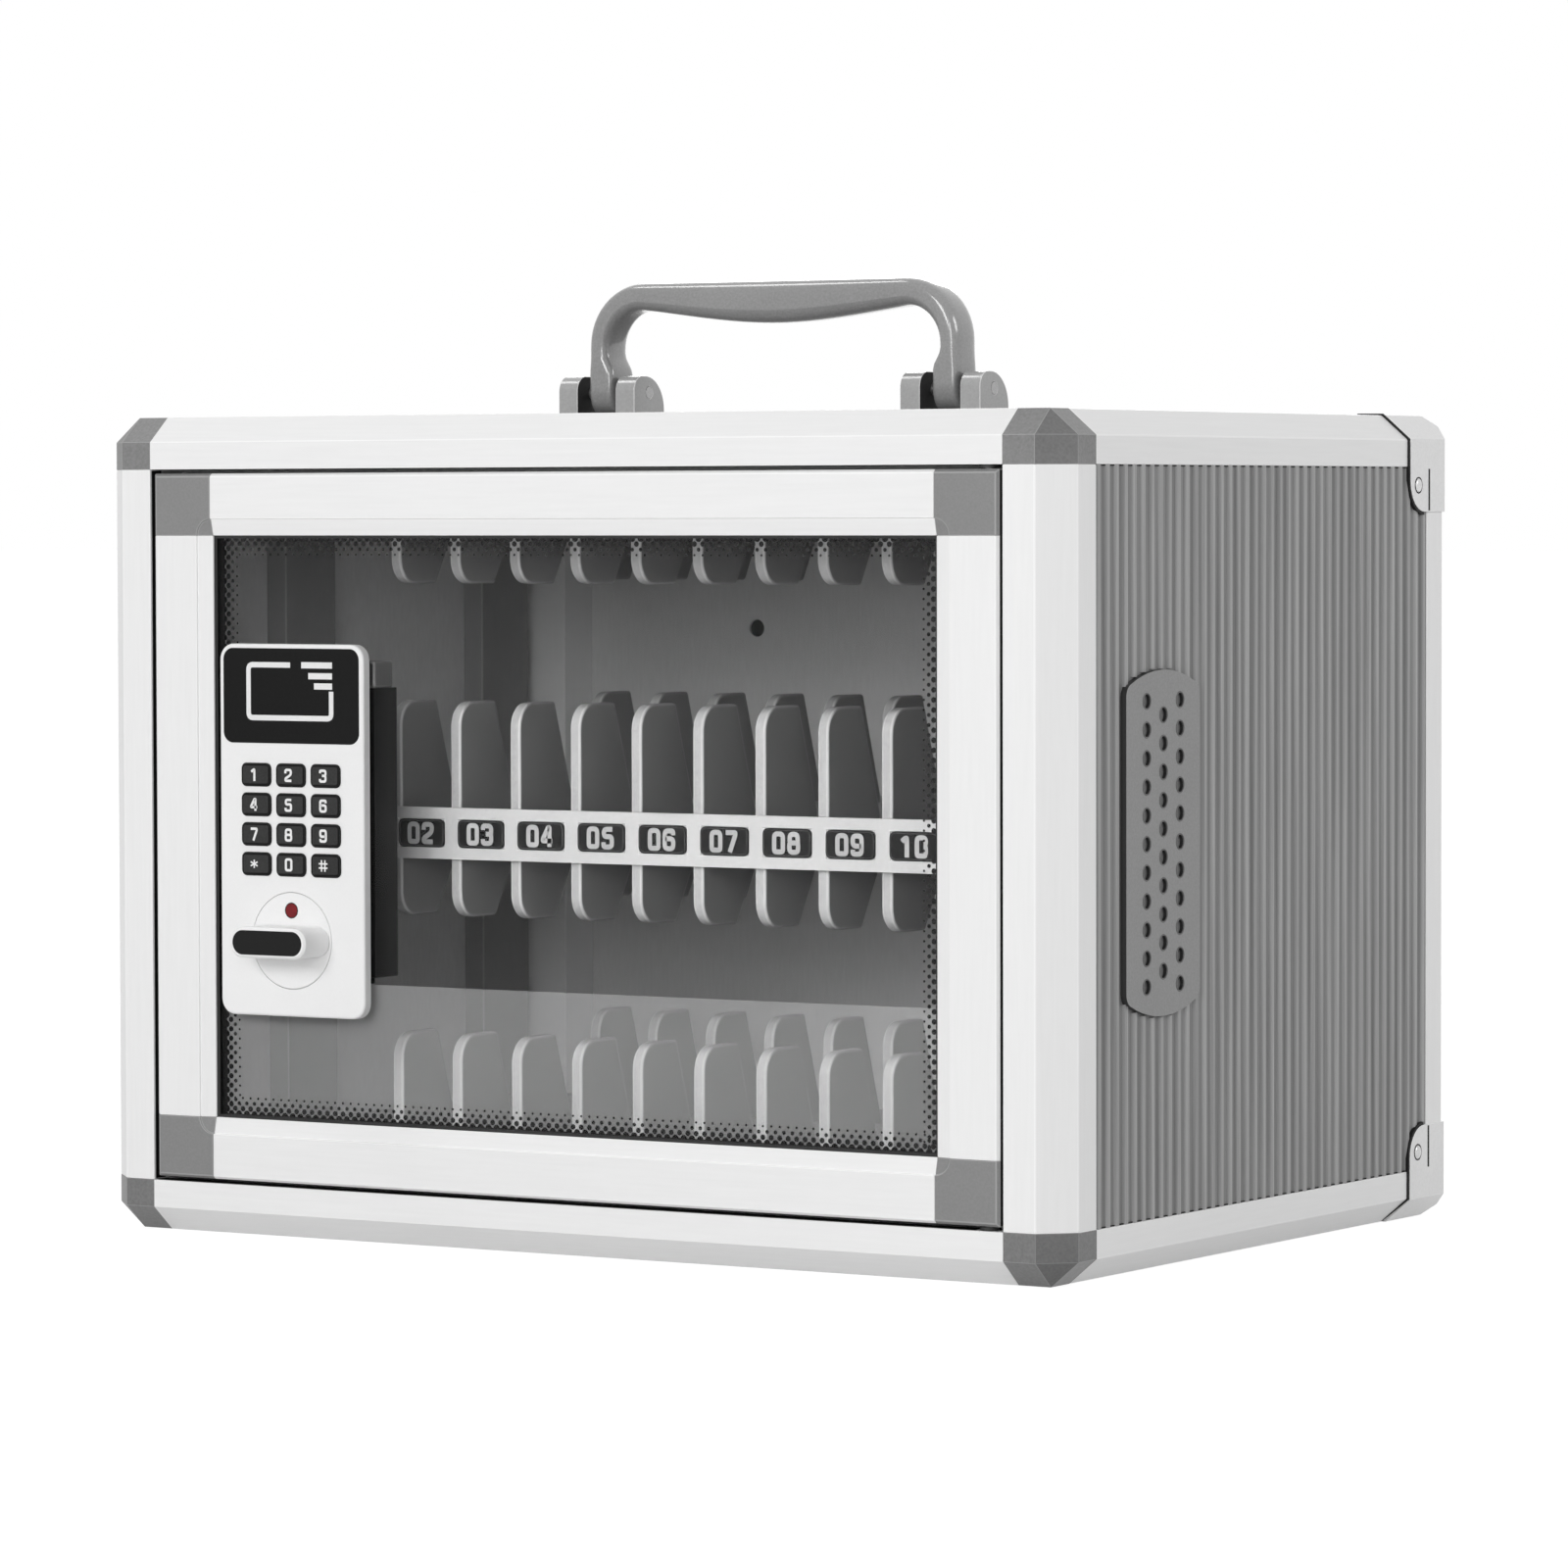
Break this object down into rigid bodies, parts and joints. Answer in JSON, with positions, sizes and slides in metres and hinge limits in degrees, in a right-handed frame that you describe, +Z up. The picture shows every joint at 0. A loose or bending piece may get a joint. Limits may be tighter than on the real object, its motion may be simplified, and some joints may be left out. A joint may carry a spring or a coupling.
{
  "type": "phone locker box",
  "caption": "Portable locker box for phones: framed case, hinged glass door with keypad lock and turning knob, comb racks inside and a folding handle.",
  "frame": {"origin": "centre of the overall box at its underside", "axes": "+X to the viewer's right, +Y from the door to the back, +Z up"},
  "size_m": [0.357, 0.2743, 0.304],
  "materials": {
    "frame_white": "white powder coat",
    "panel_grey": "satin",
    "guard_grey": "satin",
    "corner_grey": "satin gloss",
    "rack_plastic": "matte",
    "number_dark": "matte",
    "steel": "brushed",
    "glass": "clear",
    "seal_black": "matte",
    "lock_white": "satin gloss",
    "window_black": "gloss",
    "lock_black": "satin",
    "lock_clear": "satin",
    "lamp_red": "gloss",
    "key_grey": "matte"
  },
  "bodies": {
    "case": {"front_post_left": "frame_white", "front_post_right": "frame_white", "rear_posts": "frame_white", "front_rail_top": "frame_white", "front_rail_bottom": "frame_white", "rear_rails": "frame_white", "side_rails": "frame_white", "corner_caps": "corner_grey", "rear_corner_guards": "guard_grey", "guard_rivets": "steel", "side_panel_left": "panel_grey", "side_panel_right": "panel_grey", "top_panel": "panel_grey", "bottom_panel": "panel_grey", "rear_panel": "panel_grey", "vent_plates": "panel_grey", "shelf_top": "rack_plastic", "shelf_middle": "rack_plastic", "shelf_bottom": "rack_plastic", "number_rails": "rack_plastic", "number_plates": "number_dark", "dividers_top": "rack_plastic", "dividers_middle": "rack_plastic", "dividers_bottom": "rack_plastic", "shelf_uprights": "rack_plastic", "hinge_pins": "steel", "hinge_washers": "steel", "handle_brackets": "corner_grey", "handle_pins": "steel"},
    "door": {"door_stile_left": "frame_white", "door_stile_right": "frame_white", "door_rail_top": "frame_white", "door_rail_bottom": "frame_white", "door_corners": "corner_grey", "door_glass": "glass", "glass_seal": "seal_black", "lock_plate": "lock_white", "reader_window": "window_black", "status_led": "lamp_red", "lock_body": "lock_black", "lock_body_cover": "lock_clear", "bolt_housing": "lock_black", "lock_screws": "steel", "knob_rosette": "lock_white"},
    "knob": {"lock_knob": "lock_white", "knob_insert": "window_black"},
    "bolt": {"latch_bolt": "steel"},
    "handle": {"handle_bail": "corner_grey"},
    "button_1": {"key_1": "key_grey"},
    "button_2": {"key_2": "key_grey"},
    "button_3": {"key_3": "key_grey"},
    "button_4": {"key_4": "key_grey"},
    "button_5": {"key_5": "key_grey"},
    "button_6": {"key_6": "key_grey"},
    "button_7": {"key_7": "key_grey"},
    "button_8": {"key_8": "key_grey"},
    "button_9": {"key_9": "key_grey"},
    "button_star": {"key_star": "key_grey"},
    "button_0": {"key_0": "key_grey"},
    "button_hash": {"key_hash": "key_grey"}
  },
  "joints": [
    {"name": "door_hinge", "type": "hinge", "parent": "case", "child": "door", "pos_m": [0.1503, -0.1194, 0.13], "axis": [0, 0, 1], "range_deg": [0, 110]},
    {"name": "knob_turn", "type": "hinge", "parent": "door", "child": "knob", "pos_m": [-0.1015, -0.123, 0.0948], "axis": [0, 1, 0], "range_deg": [0, 90]},
    {"name": "bolt_slide", "type": "slide", "parent": "door", "child": "bolt", "axis": [-1, 0, 0], "range_m": [0, 0.012]},
    {"name": "handle_fold", "type": "hinge", "parent": "case", "child": "handle", "pos_m": [0, 0.0055, 0.2684], "axis": [1, 0, 0], "range_deg": [-88, 88]},
    {"name": "press_1", "type": "slide", "parent": "door", "child": "button_1", "axis": [0, 1, 0], "range_m": [0, 0.0009], "stiffness_N_per_m": 300, "springref_m": -0.001},
    {"name": "press_2", "type": "slide", "parent": "door", "child": "button_2", "axis": [0, 1, 0], "range_m": [0, 0.0009], "stiffness_N_per_m": 300, "springref_m": -0.001},
    {"name": "press_3", "type": "slide", "parent": "door", "child": "button_3", "axis": [0, 1, 0], "range_m": [0, 0.0009], "stiffness_N_per_m": 300, "springref_m": -0.001},
    {"name": "press_4", "type": "slide", "parent": "door", "child": "button_4", "axis": [0, 1, 0], "range_m": [0, 0.0009], "stiffness_N_per_m": 300, "springref_m": -0.001},
    {"name": "press_5", "type": "slide", "parent": "door", "child": "button_5", "axis": [0, 1, 0], "range_m": [0, 0.0009], "stiffness_N_per_m": 300, "springref_m": -0.001},
    {"name": "press_6", "type": "slide", "parent": "door", "child": "button_6", "axis": [0, 1, 0], "range_m": [0, 0.0009], "stiffness_N_per_m": 300, "springref_m": -0.001},
    {"name": "press_7", "type": "slide", "parent": "door", "child": "button_7", "axis": [0, 1, 0], "range_m": [0, 0.0009], "stiffness_N_per_m": 300, "springref_m": -0.001},
    {"name": "press_8", "type": "slide", "parent": "door", "child": "button_8", "axis": [0, 1, 0], "range_m": [0, 0.0009], "stiffness_N_per_m": 300, "springref_m": -0.001},
    {"name": "press_9", "type": "slide", "parent": "door", "child": "button_9", "axis": [0, 1, 0], "range_m": [0, 0.0009], "stiffness_N_per_m": 300, "springref_m": -0.001},
    {"name": "press_star", "type": "slide", "parent": "door", "child": "button_star", "axis": [0, 1, 0], "range_m": [0, 0.0009], "stiffness_N_per_m": 300, "springref_m": -0.001},
    {"name": "press_0", "type": "slide", "parent": "door", "child": "button_0", "axis": [0, 1, 0], "range_m": [0, 0.0009], "stiffness_N_per_m": 300, "springref_m": -0.001},
    {"name": "press_hash", "type": "slide", "parent": "door", "child": "button_hash", "axis": [0, 1, 0], "range_m": [0, 0.0009], "stiffness_N_per_m": 300, "springref_m": -0.001}
  ],
  "couplings": [
    {"joint": "bolt_slide", "follows": "knob_turn", "m_per_rad": 0.0076394}
  ]
}
